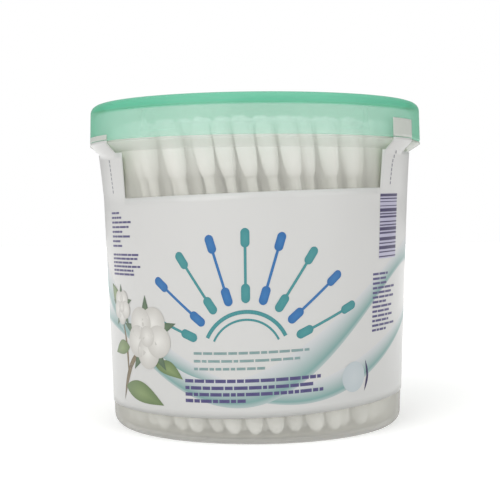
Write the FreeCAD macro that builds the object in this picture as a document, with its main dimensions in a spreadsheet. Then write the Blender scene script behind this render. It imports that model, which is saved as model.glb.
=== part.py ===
import FreeCAD, Part
import math
import os
import random

import Sketcher

# A round clear tub full of cotton swabs, with a push-on lid and a film label.
# The origin is at the middle of the base, +Z runs up through the lid and the front faces -Y.

doc = FreeCAD.newDocument("swab_tub")

# Driving dimensions: name, value in millimetres or degrees, meaning
SIZES = [
    ("swab_length", 75.0, "whole length of a swab, which sets the height of the tub"),
    ("head_room", 1.1, "room from the top of an upright swab to the level of the neck's rim"),
    ("lid_radius", 42.0, "outside of the lid's skirt at its foot, and of the collar"),
    ("collar_width", 3.1, "how far the collar stands out from the top of the wall"),
    ("wall_taper", 2.4, "how much smaller the wall is where it would meet the base plane"),
    ("wall", 0.9, "thickness of the tapered wall"),
    ("foot_round", 3.0, "outside rounding from the wall to the base"),
    ("foot_ring", 1.4, "width of the ring that the tub stands on"),
    ("foot_recess", 0.7, "height of the underside inside that ring"),
    ("floor_thickness", 0.9, "thickness of the floor"),
    ("floor_round", 1.8, "inside rounding from the floor to the wall"),
    ("collar_slope", 2.0, "height of the collar's sloped underside"),
    ("collar_lip", 0.4, "height of the collar's upright edge"),
    ("neck_height", 7.1, "height of the neck above the collar"),
    ("neck_wall", 1.0, "thickness of the neck"),
    ("neck_gap", 0.6, "clearance between the neck and the lid's skirt"),
    ("bead", 0.15, "how far each snap bead stands proud"),
    ("bead_height", 1.0, "height of a snap bead"),
    ("neck_bead_drop", 3.1, "top of the neck's bead under the neck's rim"),
    ("skirt_bead_rise", 1.4, "foot of the skirt's bead above the skirt's foot"),
    ("lid_draft", 0.24, "how much smaller the lid is at its top"),
    ("lid_wall", 1.0, "thickness of the lid's skirt and panel"),
    ("lid_seat_gap", 0.2, "clearance between the lid's panel and the neck's rim"),
    ("skirt_gap", 0.3, "clearance between the skirt's foot and the collar"),
    ("rim_width", 3.0, "width of the stacking rim round the panel"),
    ("rim_height", 1.5, "height of the stacking rim above the panel"),
    ("lid_round", 2.0, "rounding of the lid's top edge"),
    ("rim_round", 0.6, "rounding of the stacking rim's inner edge"),
    ("film", 0.2, "thickness of the label's film"),
    ("film_gap", 0.06, "clearance between the film and what it is stuck to"),
    ("label_foot", 6.6, "height of the label's lower edge at the front"),
    ("label_top_gap", 0.3, "label's upper edge under the collar"),
    ("label_tilt", 1.9, "how far out of level the label was applied, in degrees"),
    ("window_depth", 10.2, "window's lower edge under the collar, at the front"),
    ("window_left", 31.0, "left edge of the window from the middle"),
    ("window_right", 29.35, "right edge of the window from the middle"),
    ("tab_right_angle", 13.6, "width of the right seal tab round the lid, in degrees"),
    ("tab_left_angle", 19.0, "width of the left seal tab round the lid, in degrees"),
    ("tab_right_turn", 57.2, "middle of the right tab from the front, in degrees"),
    ("tab_left_turn", 66.3, "middle of the left tab from the front, in degrees"),
    ("tab_right_height", 4.5, "height of the right tab above the skirt's foot"),
    ("tab_left_height", 1.3, "height of the left tab above the skirt's foot"),
    ("tear_gap", 0.05, "gap from the tear line to the edge beside it"),
    ("stick_radius", 1.15, "radius of the paper stick"),
    ("stick_gap", 0.05, "clearance between the stick and the cotton round it"),
    ("cotton_radius", 2.35, "radius of a cotton head near its end"),
    ("cotton_waist", 2.0, "radius of a cotton head at its shoulder"),
    ("cotton_length", 14.5, "length of a cotton head"),
    ("cotton_shoulder", 2.6, "length of a head's narrowing onto the stick"),
    ("cotton_end_round", 2.25, "rounding of a head's end, made of narrow bands"),
    ("cotton_cap", 2.5, "cotton beyond the end of the stick"),
    ("swab_gap", 0.2, "clearance between neighbouring heads, and from heads to the wall"),
    ("seat_gap", 0.25, "clearance between the floor and the swabs that stand on it"),
    ("heap_gap", 0.32, "gap between neighbouring heads in the even pattern the heap starts from"),
    ("heap_twist", 24.0, "how far the heap of swabs is twisted from foot to top, in degrees"),
    ("heap_spread", 1.07, "how much wider the heap is at its top"),
    ("heap_press", 0.6, "how far the outer swabs start beyond the wall, which then presses them in"),
    ("heap_turn", 14.0, "how far the rows of the heap are turned from the sides, in degrees"),
    ("heap_disorder", 1.7, "how far a swab may stray from the even pattern it starts from"),
]

sheet = doc.addObject("Spreadsheet::Sheet", "Sizes")
for row, (alias, value, meaning) in enumerate(SIZES, 1):
    sheet.set(f"A{row}", alias)
    sheet.set(f"B{row}", str(value))
    sheet.setAlias(f"B{row}", alias)
    sheet.set(f"C{row}", meaning)
doc.recompute()


def size(alias):
    """The number in a cell of the sheet."""
    return float(sheet.get(alias))


# Heights and radii that several pieces share, as expressions of the cells

FLOOR = "Sizes.foot_recess + Sizes.floor_thickness"
NECK_RIM = f"{FLOOR} + Sizes.swab_length + Sizes.head_room"
COLLAR_TOP = f"{NECK_RIM} - Sizes.neck_height"
LIP_FOOT = f"{COLLAR_TOP} - Sizes.collar_lip"
WALL_TOP = f"{LIP_FOOT} - Sizes.collar_slope"
WALL_TOP_RADIUS = "Sizes.lid_radius - Sizes.collar_width"
WALL_FOOT_RADIUS = f"{WALL_TOP_RADIUS} - Sizes.wall_taper"
NECK_RADIUS = "Sizes.lid_radius - Sizes.lid_wall - Sizes.neck_gap"
SKIRT_FOOT = f"{COLLAR_TOP} + Sizes.skirt_gap"
SKIRT_INSIDE = "Sizes.lid_radius - Sizes.lid_wall"
PANEL_FOOT = f"{NECK_RIM} + Sizes.lid_seat_gap"
PANEL_TOP = f"{PANEL_FOOT} + Sizes.lid_wall"
LID_TOP = f"{PANEL_TOP} + Sizes.rim_height"
BEAD_SLOPE = "Sizes.bead_height / 4"


def wall_at(height):
    """Outside radius of the tapered wall at a height."""
    return f"{WALL_FOOT_RADIUS} + Sizes.wall_taper * ({height}) / ({WALL_TOP})"


def skirt_at(height):
    """Outside radius of the lid's skirt at a height."""
    draft = f"Sizes.lid_draft / ({LID_TOP} - ({SKIRT_FOOT}))"
    return f"Sizes.lid_radius - {draft} * ({height} - ({SKIRT_FOOT}))"


# Ways of making that the pieces share


ROUGH_MIDDLE = FreeCAD.Vector(40, 40, 0)
ROUGH_RADIUS = 10.0


def new_body(label):
    body = doc.addObject("PartDesign::Body", label)
    body.Label = label
    return body


def outline(body, name, corners):
    """A closed upright sketch of straight sides. Each corner has a name and two bound coordinates."""
    sketch = body.newObject("Sketcher::SketchObject", name)
    base = next(one for one in body.Origin.OriginFeatures if one.Role == "XZ_Plane")
    sketch.AttachmentSupport = [(base, "")]
    sketch.MapMode = "FlatFace"
    count = len(corners)
    # The corners start evenly on a circle, and the bound distances then put them in place
    rough = []
    for number in range(count):
        angle = 2 * math.pi * number / count
        rough.append(ROUGH_MIDDLE + FreeCAD.Vector(math.cos(angle), math.sin(angle), 0) * ROUGH_RADIUS)
    for number in range(count):
        sketch.addGeometry(Part.LineSegment(rough[number], rough[(number + 1) % count]))
    for number in range(count):
        sketch.addConstraint(Sketcher.Constraint("Coincident", number, 2, (number + 1) % count, 1))
    for number, (corner, across, up) in enumerate(corners):
        bind(sketch, "DistanceX", number, f"{corner}_across", across)
        bind(sketch, "DistanceY", number, f"{corner}_up", up)
    doc.recompute()
    return sketch


def bind(sketch, kind, line, name, expression):
    """Ties the start of a line to the sketch's origin by a bound distance."""
    if expression == "0":
        axis = -2 if kind == "DistanceX" else -1
        sketch.addConstraint(Sketcher.Constraint("PointOnObject", line, 1, axis))
        return
    number = sketch.addConstraint(Sketcher.Constraint(kind, -1, 1, line, 1, ROUGH_RADIUS))
    sketch.renameConstraint(number, name)
    sketch.setExpression(f"Constraints.{name}", expression)


def turn(body, sketch, angle="360"):
    """Turns a section about the upright axis, to both sides of its plane."""
    turned = body.newObject("PartDesign::Revolution", f"{sketch.Name}_turned")
    turned.Profile = sketch
    turned.ReferenceAxis = (sketch, ["V_Axis"])
    turned.Midplane = True
    turned.setExpression("Angle", angle)
    doc.recompute()
    return turned


def where(sketch, corner):
    """Radius and height of a section's corner. A corner on the base plane has no bound height."""
    names = [one.Name for one in sketch.Constraints]
    height = 0.0
    if f"{corner}_up" in names:
        height = sketch.getDatum(f"{corner}_up").Value
    return sketch.getDatum(f"{corner}_across").Value, height


def edges_at(shape, radius, height):
    """Names of the level round edges of this radius and height."""
    found = []
    for number, edge in enumerate(shape.Edges, 1):
        curve = edge.Curve
        if not isinstance(curve, Part.Circle):
            continue
        near = abs(curve.Radius - radius) < 1e-3 and abs(curve.Center.z - height) < 1e-3
        if near:
            found.append(f"Edge{number}")
    return found


def round_edge(body, sketch, corner, radius):
    """Rounds the edge that a section's corner makes when it is turned."""
    base = body.Tip
    names = edges_at(base.Shape, *where(sketch, corner))
    fillet = body.newObject("PartDesign::Fillet", f"{corner}_rounded")
    fillet.Base = (base, names)
    fillet.setExpression("Radius", radius)
    doc.recompute()
    return fillet


def cut_through(body, sketch):
    """Cuts a sketch right through the body, to both sides of its plane."""
    pocket = body.newObject("PartDesign::Pocket", f"{sketch.Name}_cut")
    pocket.Profile = sketch
    pocket.Midplane = True
    pocket.setExpression("Length", "4 * Sizes.lid_radius")
    doc.recompute()
    return pocket


# Tub: clear moulded plastic in one piece, from the foot ring to the neck's rim


def make_tub():
    body = new_body("tub")
    stand = f"{WALL_FOOT_RADIUS} - Sizes.foot_round"
    bead_top = f"{NECK_RIM} - Sizes.neck_bead_drop"
    bead_foot = f"{bead_top} - Sizes.bead_height"
    neck_inside = f"{NECK_RADIUS} - Sizes.neck_wall"
    section = outline(
        body,
        "tub_section",
        [
            ("ring_inside", f"{stand} - Sizes.foot_ring", "0"),
            ("foot", WALL_FOOT_RADIUS, "0"),
            ("wall_top", WALL_TOP_RADIUS, WALL_TOP),
            ("lip_foot", "Sizes.lid_radius", LIP_FOOT),
            ("lip_top", "Sizes.lid_radius", COLLAR_TOP),
            ("neck_foot", NECK_RADIUS, COLLAR_TOP),
            ("bead_foot", NECK_RADIUS, bead_foot),
            ("bead_low", f"{NECK_RADIUS} + Sizes.bead", f"{bead_foot} + {BEAD_SLOPE}"),
            ("bead_high", f"{NECK_RADIUS} + Sizes.bead", f"{bead_top} - {BEAD_SLOPE}"),
            ("bead_top", NECK_RADIUS, bead_top),
            ("neck_rim", NECK_RADIUS, NECK_RIM),
            ("neck_inside", neck_inside, NECK_RIM),
            ("neck_inside_foot", neck_inside, LIP_FOOT),
            ("wall_inside", f"{WALL_TOP_RADIUS} - Sizes.wall", WALL_TOP),
            ("floor_edge", f"{wall_at(FLOOR)} - Sizes.wall", FLOOR),
            ("floor_middle", "0", FLOOR),
            ("underside_middle", "0", "Sizes.foot_recess"),
            ("underside_edge", f"{stand} - Sizes.foot_ring", "Sizes.foot_recess"),
        ],
    )
    turn(body, section)
    round_edge(body, section, "foot", "Sizes.foot_round")
    round_edge(body, section, "floor_edge", "Sizes.floor_round")
    return body


# Lid: translucent moulded plastic, a skirt under a sunk panel with a stacking rim round it


def make_lid():
    body = new_body("lid")
    bead_foot = f"{SKIRT_FOOT} + Sizes.skirt_bead_rise"
    bead_top = f"{bead_foot} + Sizes.bead_height"
    rim_inside = "Sizes.lid_radius - Sizes.lid_draft - Sizes.rim_width"
    section = outline(
        body,
        "lid_section",
        [
            ("skirt_foot", "Sizes.lid_radius", SKIRT_FOOT),
            ("lid_edge", "Sizes.lid_radius - Sizes.lid_draft", LID_TOP),
            ("rim_inside", rim_inside, LID_TOP),
            ("panel_edge", rim_inside, PANEL_TOP),
            ("panel_middle", "0", PANEL_TOP),
            ("panel_under_middle", "0", PANEL_FOOT),
            ("panel_under_edge", SKIRT_INSIDE, PANEL_FOOT),
            ("bead_top", SKIRT_INSIDE, bead_top),
            ("bead_high", f"{SKIRT_INSIDE} - Sizes.bead", f"{bead_top} - {BEAD_SLOPE}"),
            ("bead_low", f"{SKIRT_INSIDE} - Sizes.bead", f"{bead_foot} + {BEAD_SLOPE}"),
            ("bead_foot", SKIRT_INSIDE, bead_foot),
            ("skirt_foot_inside", SKIRT_INSIDE, SKIRT_FOOT),
        ],
    )
    turn(body, section)
    round_edge(body, section, "lid_edge", "Sizes.lid_round")
    round_edge(body, section, "rim_inside", "Sizes.rim_round")
    return body


# Label: printed film, wrapped once round the wall, with a window at the front and the back.
# Two risers run from it over the collar to the tear line under each seal tab.

SIDES = {
    "right": ("Sizes.tab_right_angle", "Sizes.tab_right_turn - 90"),
    "left": ("Sizes.tab_left_angle", "-Sizes.tab_left_turn - 90"),
}


def make_wrap():
    body = new_body("label_wrap")
    blank_foot = "Sizes.label_foot / 2"
    top = f"{WALL_TOP} - Sizes.label_top_gap"
    section = outline(
        body,
        "wrap_section",
        [
            ("foot_inside", f"{wall_at(blank_foot)} + Sizes.film_gap", blank_foot),
            ("foot_outside", f"{wall_at(blank_foot)} + Sizes.film_gap + Sizes.film", blank_foot),
            ("top_outside", f"{wall_at(top)} + Sizes.film_gap + Sizes.film", top),
            ("top_inside", f"{wall_at(top)} + Sizes.film_gap", top),
        ],
    )
    turn(body, section)
    slope = "tan(Sizes.label_tilt * 1deg)"
    beyond = "1.2 * Sizes.lid_radius"
    trim = outline(
        body,
        "lower_trim",
        [
            ("left_low", f"-{beyond}", f"-{beyond}"),
            ("right_low", beyond, f"-{beyond}"),
            ("right_high", beyond, f"Sizes.label_foot + {beyond} * {slope}"),
            ("left_high", f"-{beyond}", f"Sizes.label_foot - {beyond} * {slope}"),
        ],
    )
    cut_through(body, trim)
    window_foot = f"{WALL_TOP} - Sizes.window_depth"
    left_foot = f"{window_foot} - Sizes.window_left * {slope}"
    right_foot = f"{window_foot} + Sizes.window_right * {slope}"
    window = outline(
        body,
        "window",
        [
            ("left_foot", "-Sizes.window_left", left_foot),
            ("right_foot", "Sizes.window_right", right_foot),
            ("right_top", "Sizes.window_right", COLLAR_TOP),
            ("left_top", "-Sizes.window_left", COLLAR_TOP),
        ],
    )
    cut_through(body, window)
    return body


def film_strip(label, spine, side):
    """A strip of film that follows a spine of radius and height, on the right or left side."""
    angle, turn_from_front = SIDES[side]
    body = new_body(label)
    outside = []
    inside = []
    for name, radius, height in spine:
        inside.append((f"{name}_inside", f"{radius} + Sizes.film_gap", height))
        outside.append((f"{name}_outside", f"{radius} + Sizes.film_gap + Sizes.film", height))
    section = outline(body, f"{label}_section", outside + inside[::-1])
    turn(body, section, angle)
    body.setExpression("Placement.Rotation.Angle", turn_from_front)
    return body


def make_label():
    overlap = f"{WALL_TOP} - Sizes.label_top_gap - Sizes.collar_slope"
    spine = [
        ("overlap", wall_at(overlap), overlap),
        ("wall_top", WALL_TOP_RADIUS, WALL_TOP),
        ("lip_foot", "Sizes.lid_radius", LIP_FOOT),
        ("tear", "Sizes.lid_radius", f"{COLLAR_TOP} - Sizes.tear_gap"),
    ]
    wrap = make_wrap()
    right = film_strip("riser_right", spine, "right")
    left = film_strip("riser_left", spine, "left")
    label = doc.addObject("Part::MultiFuse", "label")
    label.Shapes = [wrap, right, left]
    label.Refine = True
    label.Label = "label"
    return label


# Seal tabs: the ends of the risers beyond their tear line, stuck on the lid's skirt


def make_seal_tab(side):
    foot = f"{SKIRT_FOOT} + Sizes.tear_gap"
    top = f"{SKIRT_FOOT} + Sizes.tab_{side}_height"
    spine = [("foot", skirt_at(foot), foot), ("top", skirt_at(top), top)]
    return film_strip(f"seal_tab_{side}", spine, side)


# Swab: a rolled paper stick with a wound cotton head on each end

END_BANDS = 4


def make_stick_pattern():
    """One stick, standing on the origin as it sits inside its lower head."""
    stick = doc.addObject("Part::Cylinder", "stick_pattern")
    stick.Label = "stick_pattern"
    stick.setExpression("Radius", "Sizes.stick_radius")
    stick.setExpression("Height", "Sizes.swab_length - 2 * Sizes.cotton_cap")
    stick.setExpression("Placement.Base.z", "Sizes.cotton_cap")
    return stick


def make_cotton_pattern():
    """One lower head, with its end at the origin and a bore for the stick."""
    body = new_body("cotton_pattern")
    bore = "Sizes.stick_radius + Sizes.stick_gap"
    bore_end = "Sizes.cotton_cap - Sizes.stick_gap"
    corners = [("end_middle", "0", "0")]
    for band in range(1, END_BANDS + 1):
        angle = f"{90 * band / END_BANDS} * 1deg"
        out = f"Sizes.cotton_radius - Sizes.cotton_end_round * (1 - sin({angle}))"
        corners.append((f"band_{band}", out, f"Sizes.cotton_end_round * (1 - cos({angle}))"))
    corners += [
        ("waist", "Sizes.cotton_waist", "Sizes.cotton_length - Sizes.cotton_shoulder"),
        ("mouth_outside", f"{bore} + Sizes.stick_gap", "Sizes.cotton_length"),
        ("mouth", bore, "Sizes.cotton_length"),
        ("bore_end", bore, bore_end),
        ("bore_middle", "0", bore_end),
    ]
    section = outline(body, "cotton_section", corners)
    turn(body, section)
    return body


# The heap: the swabs start in an even pattern of rows, twisted from foot to top.
# They then push each other and the wall away until none of their heads meet.

ROWS = 15
HEAD_SHARES = (0.0, 0.19, 0.81, 0.91, 1.0)
SETTLING_ROUNDS = 400
SEED = 8
NEIGHBOURS = 2.5  # swabs that start further apart than this many widths never meet
PUSH = 0.51  # each of two swabs moves a little over half of the gap that they lack
FOOT_ON_ROUND = 0.5  # share of the floor's rounding that holds a round foot off the wall


def inside_radius(share):
    """Inside of the tub at a share of the height of a swab that stands on its floor."""
    floor = size("foot_recess") + size("floor_thickness")
    below_rim = size("neck_height") + size("collar_lip") + size("collar_slope")
    wall_top = floor + size("swab_length") + size("head_room") - below_rim
    height = floor + share * size("swab_length")
    if height > wall_top:
        return size("lid_radius") - size("lid_wall") - size("neck_gap") - size("neck_wall")
    taper = size("wall_taper") * (1 - height / wall_top)
    return size("lid_radius") - size("collar_width") - taper - size("wall")


def rotated(x, y, angle):
    return x * math.cos(angle) - y * math.sin(angle), x * math.sin(angle) + y * math.cos(angle)


def even_pattern():
    """Swabs from one side of the tub to the other, each as [foot x, foot y, top x, top y]."""
    dice = random.Random(SEED)
    pitch = 2 * size("cotton_radius") + size("heap_gap")
    row_step = pitch * math.sqrt(3) / 2
    reach = inside_radius(0) - size("cotton_radius") + size("heap_press")
    turned = math.radians(size("heap_turn"))
    twist = turned - math.radians(size("heap_twist"))
    spread = size("heap_spread")
    swabs = []
    last = int(reach / row_step)
    for row in range(-last, last + 1):
        start = pitch / 2 if row % 2 else 0.0
        most = int(reach / pitch) + 1
        for step in range(-most, most + 1):
            x = start + step * pitch
            y = row * row_step
            if math.hypot(x, y) > reach:
                continue
            foot_x, foot_y = rotated(x, y, turned)
            top_x, top_y = rotated(spread * x, spread * y, twist)
            stray = [dice.uniform(-1, 1) * size("heap_disorder") for _ in range(4)]
            swabs.append([foot_x + stray[0], foot_y + stray[1], top_x + stray[2], top_y + stray[3]])
    return swabs


def shift(swab, share, dx, dy):
    """Moves the point of a swab at a share of its length by moving its foot and its top."""
    foot = 1 - share
    weight = foot * foot + share * share
    swab[0] += dx * foot / weight
    swab[1] += dy * foot / weight
    swab[2] += dx * share / weight
    swab[3] += dy * share / weight


def point_at(swab, share):
    foot = 1 - share
    return foot * swab[0] + share * swab[2], foot * swab[1] + share * swab[3]


def settle(swabs):
    """Pushes the swabs apart and in from the wall until all of them are clear."""
    apart = 2 * size("cotton_radius") + size("swab_gap")
    room = {}
    for share in HEAD_SHARES:
        corner = FOOT_ON_ROUND * size("floor_round") if share == 0 else 0.0
        room[share] = inside_radius(share) - corner - size("cotton_radius") - size("swab_gap")
    pairs = []
    for first in range(len(swabs)):
        for second in range(first + 1, len(swabs)):
            one, other = swabs[first], swabs[second]
            if math.hypot(one[0] - other[0], one[1] - other[1]) < NEIGHBOURS * apart:
                pairs.append((one, other))
    for _ in range(SETTLING_ROUNDS):
        moved = False
        for share in HEAD_SHARES:
            for one, other in pairs:
                x1, y1 = point_at(one, share)
                x2, y2 = point_at(other, share)
                distance = math.hypot(x2 - x1, y2 - y1)
                if distance >= apart:
                    continue
                moved = True
                push = PUSH * (apart - distance) / distance
                shift(one, share, push * (x1 - x2), push * (y1 - y2))
                shift(other, share, push * (x2 - x1), push * (y2 - y1))
            for swab in swabs:
                x, y = point_at(swab, share)
                out = math.hypot(x, y)
                if out > room[share]:
                    moved = True
                    shift(swab, share, x * (room[share] / out - 1), y * (room[share] / out - 1))
        if not moved:
            return


def make_swabs():
    """A node of sticks and a node of cotton heads for each row, with the swabs shared out evenly."""
    stick = make_stick_pattern()
    head = make_cotton_pattern()
    doc.recompute()
    swabs = even_pattern()
    settle(swabs)
    length = size("swab_length")
    floor = size("foot_recess") + size("floor_thickness") + size("seat_gap")
    round_end = size("cotton_end_round")
    made = []
    for number in range(1, ROWS + 1):
        first, end = (len(swabs) * share // ROWS for share in (number - 1, number))
        sticks = []
        heads = []
        for x, y, top_x, top_y in swabs[first:end]:
            lean_x = top_x - x
            lean_y = top_y - y
            rise = math.sqrt(length**2 - lean_x**2 - lean_y**2)
            along = FreeCAD.Vector(lean_x, lean_y, rise).normalize()
            foot = FreeCAD.Vector(x, y, floor + round_end * (1 - along.z))
            upright = FreeCAD.Rotation(FreeCAD.Vector(0, 0, 1), along)
            upside_down = FreeCAD.Rotation(FreeCAD.Vector(0, 0, 1), along.negative())
            swab = FreeCAD.Placement(foot, upright)
            sticks.append(placed(stick.Shape, swab))
            heads.append(placed(head.Shape, swab))
            heads.append(placed(head.Shape, FreeCAD.Placement(foot + along * length, upside_down)))
        made.append(new_row(f"sticks_row_{number:02d}", sticks))
        made.append(new_row(f"cotton_row_{number:02d}", heads))
    return made


def placed(shape, placement):
    copy = shape.copy()
    copy.Placement = placement.multiply(shape.Placement)
    return copy


def new_row(label, shapes):
    row = doc.addObject("Part::Feature", label)
    row.Label = label
    row.Shape = Part.makeCompound(shapes)
    row.Placement = FreeCAD.Placement()
    return row


pieces = [
    make_tub(),
    make_lid(),
    make_label(),
    make_seal_tab("right"),
    make_seal_tab("left"),
]
pieces += make_swabs()

doc.recompute()
for item in doc.Objects:
    if "Invalid" in item.State or "Error" in item.State:
        raise RuntimeError(f"{item.Label} was not built: {item.State}")
for piece in pieces:
    if piece.Shape.isNull() or not piece.Shape.isValid():
        raise RuntimeError(f"{piece.Label} has no sound shape")

os.makedirs("parts", exist_ok=True)
for piece in pieces:
    piece.Shape.exportStep(f"parts/{piece.Label}.step")
    print(piece.Label, len(piece.Shape.Solids), round(piece.Shape.Volume, 2), "mm3")
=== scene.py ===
import math
import random

import bmesh
import bpy
import numpy as np
from mathutils import Euler, Matrix, Vector, noise


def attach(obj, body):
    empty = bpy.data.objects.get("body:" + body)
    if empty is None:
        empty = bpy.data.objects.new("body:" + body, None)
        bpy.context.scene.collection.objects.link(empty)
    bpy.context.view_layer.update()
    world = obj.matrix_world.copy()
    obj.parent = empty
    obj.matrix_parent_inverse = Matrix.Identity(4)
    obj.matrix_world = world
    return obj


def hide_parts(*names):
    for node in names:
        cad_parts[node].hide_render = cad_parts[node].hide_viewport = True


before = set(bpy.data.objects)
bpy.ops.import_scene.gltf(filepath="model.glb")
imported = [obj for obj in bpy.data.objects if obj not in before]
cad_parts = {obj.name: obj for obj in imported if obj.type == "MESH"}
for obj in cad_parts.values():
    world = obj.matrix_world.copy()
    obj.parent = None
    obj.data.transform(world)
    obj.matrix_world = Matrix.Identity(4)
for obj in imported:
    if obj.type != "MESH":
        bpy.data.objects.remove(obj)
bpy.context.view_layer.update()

# Everything below is given in millimetres and degrees, and made in metres.
MM = 0.001


# Camera: at two thirds of the tub's height, close in front of it, tipped slightly down.
# It was held a little out of level, so the tub leans left in the picture.
CAMERA_PLACE = (0.0, -302.0, 53.5)
PITCH = 1.86
YAW = 0.29
ROLL = -0.55
FOCAL_LENGTH = 84.3
SENSOR_WIDTH = 36.0
NEAREST_SEEN = 10.0
MOST_CLEAR_SURFACES = 32

camera = bpy.data.objects.new("camera", bpy.data.cameras.new("camera"))
bpy.context.scene.collection.objects.link(camera)
camera.data.lens = FOCAL_LENGTH
camera.data.sensor_width = SENSOR_WIDTH
camera.data.clip_start = NEAREST_SEEN * MM
look = Euler((math.radians(90 - PITCH), 0, math.radians(YAW))).to_matrix().to_4x4()
roll = Matrix.Rotation(math.radians(ROLL), 4, "Z")
camera.matrix_world = Matrix.Translation(Vector(CAMERA_PLACE) * MM) @ look @ roll
bpy.context.scene.camera = camera
bpy.context.scene.view_settings.view_transform = "Standard"
# A level ray through the closed lid and neck crosses eight clear surfaces, and a steep one more.
bpy.context.scene.cycles.transparent_max_bounces = MOST_CLEAR_SURFACES


# Studio: a plain pale floor under a plain pale surround, with a large soft lamp on the left,
# a weaker one on the right and one overhead. To the camera the floor and surround are white.
FLOOR_COLOUR = "#f3f3f2"
SURROUND_COLOUR = "#ffffff"
SURROUND_LEVEL = 0.42
FLOOR_FILL_NEAR = 0.34
FLOOR_FILL_FAR = 0.85
FLOOR_FILL_START = 60.0
FLOOR_FILL_END = 500.0
FLOOR_RADIUS = 1600.0
FLOOR_SIDES = 96
PAINT_PATCHES = 0.033
LAMPS = [
    ("lamp_left", (-620, -800, 640), 1100, 5.2),
    ("lamp_right", (780, -640, 460), 1000, 2.2),
    ("lamp_top", (0, -60, 1000), 1300, 3.4),
]
LAMP_TARGET = Vector((0, 0, 40))


def linear(hex_colour):
    """A colour written as sRGB hex, as the linear values that the nodes take."""
    parts = [int(hex_colour[at : at + 2], 16) / 255 for at in (1, 3, 5)]
    return [p / 12.92 if p <= 0.04045 else ((p + 0.055) / 1.055) ** 2.4 for p in parts] + [1.0]


def node(tree, kind, settings=None, sockets=None):
    """Adds a node. A socket is given a value, or the output of another node to be linked."""
    made = tree.nodes.new(kind)
    for name, value in (settings or {}).items():
        setattr(made, name, value)
    for name, value in (sockets or {}).items():
        if isinstance(value, bpy.types.NodeSocket):
            tree.links.new(value, made.inputs[name])
        else:
            made.inputs[name].default_value = value
    return made


def new_material(name):
    """An empty material and its node tree."""
    made = bpy.data.materials.new(name)
    made.use_nodes = True
    made.node_tree.nodes.clear()
    return made, made.node_tree


def new_object(name, bm, material, smooth=True):
    """An object from a bmesh whose vertices are in millimetres."""
    bmesh.ops.scale(bm, vec=(MM, MM, MM), verts=bm.verts)
    mesh = bpy.data.meshes.new(name)
    bm.to_mesh(mesh)
    bm.free()
    for face in mesh.polygons:
        face.use_smooth = smooth
    mesh.materials.append(material)
    made = bpy.data.objects.new(name, mesh)
    bpy.context.scene.collection.objects.link(made)
    return made


# Painted board: matt, with a faint unevenness of the paint, 30 mm across. The scales of all
# patterns are given per millimetre.
floor_paint, tree = new_material("floor_matt_paint")
where = node(tree, "ShaderNodeTexCoord")
uneven = node(
    tree,
    "ShaderNodeTexNoise",
    sockets={"Vector": where.outputs["Object"], "Scale": PAINT_PATCHES / MM},
)
tone = node(
    tree,
    "ShaderNodeMix",
    {"data_type": "RGBA"},
    {"Factor": uneven.outputs["Fac"], "A": linear(FLOOR_COLOUR), "B": linear("#efefee")},
)
matt = node(
    tree, "ShaderNodeBsdfDiffuse", sockets={"Color": tone.outputs["Result"], "Roughness": 0.4}
)
# The lamps' light falls off, so the floor is lifted more the farther it lies from the tub.
from_tub = node(tree, "ShaderNodeVectorMath", {"operation": "LENGTH"}, {0: where.outputs["Object"]})
lift = node(
    tree,
    "ShaderNodeMapRange",
    sockets={
        0: from_tub.outputs["Value"],
        1: FLOOR_FILL_START * MM,
        2: FLOOR_FILL_END * MM,
        3: FLOOR_FILL_NEAR,
        4: FLOOR_FILL_FAR,
    },
)
fill = node(
    tree,
    "ShaderNodeEmission",
    sockets={"Color": linear(SURROUND_COLOUR), "Strength": lift.outputs[0]},
)
lifted = node(tree, "ShaderNodeAddShader", sockets={0: matt.outputs[0], 1: fill.outputs[0]})
rays = node(tree, "ShaderNodeLightPath")
seen = node(
    tree,
    "ShaderNodeMath",
    {"operation": "MAXIMUM"},
    {0: rays.outputs["Is Camera Ray"], 1: rays.outputs["Is Glossy Ray"]},
)
shown = node(
    tree,
    "ShaderNodeMixShader",
    sockets={0: seen.outputs[0], 1: matt.outputs[0], 2: lifted.outputs[0]},
)
node(tree, "ShaderNodeOutputMaterial", sockets={"Surface": shown.outputs[0]})

bm = bmesh.new()
bmesh.ops.create_circle(bm, cap_ends=True, segments=FLOOR_SIDES, radius=FLOOR_RADIUS)
floor = new_object("floor", bm, floor_paint, smooth=False)

world = bpy.data.worlds.new("studio")
bpy.context.scene.world = world
world.use_nodes = True
tree = world.node_tree
tree.nodes.clear()
rays = node(tree, "ShaderNodeLightPath")
surround = node(
    tree,
    "ShaderNodeBackground",
    sockets={"Color": linear(SURROUND_COLOUR), "Strength": SURROUND_LEVEL},
)
backdrop = node(
    tree, "ShaderNodeBackground", sockets={"Color": linear(SURROUND_COLOUR), "Strength": 1.0}
)
shown = node(
    tree,
    "ShaderNodeMixShader",
    sockets={0: rays.outputs["Is Camera Ray"], 1: surround.outputs[0], 2: backdrop.outputs[0]},
)
node(tree, "ShaderNodeOutputWorld", sockets={"Surface": shown.outputs[0]})

for name, place, across, power in LAMPS:
    lamp = bpy.data.objects.new(name, bpy.data.lights.new(name, "AREA"))
    bpy.context.scene.collection.objects.link(lamp)
    lamp.data.shape = "DISK"
    lamp.data.size = across * MM
    lamp.data.energy = power
    lamp.location = Vector(place) * MM
    lamp.rotation_euler = (LAMP_TARGET * MM - lamp.location).to_track_quat("-Z", "Y").to_euler()


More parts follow.
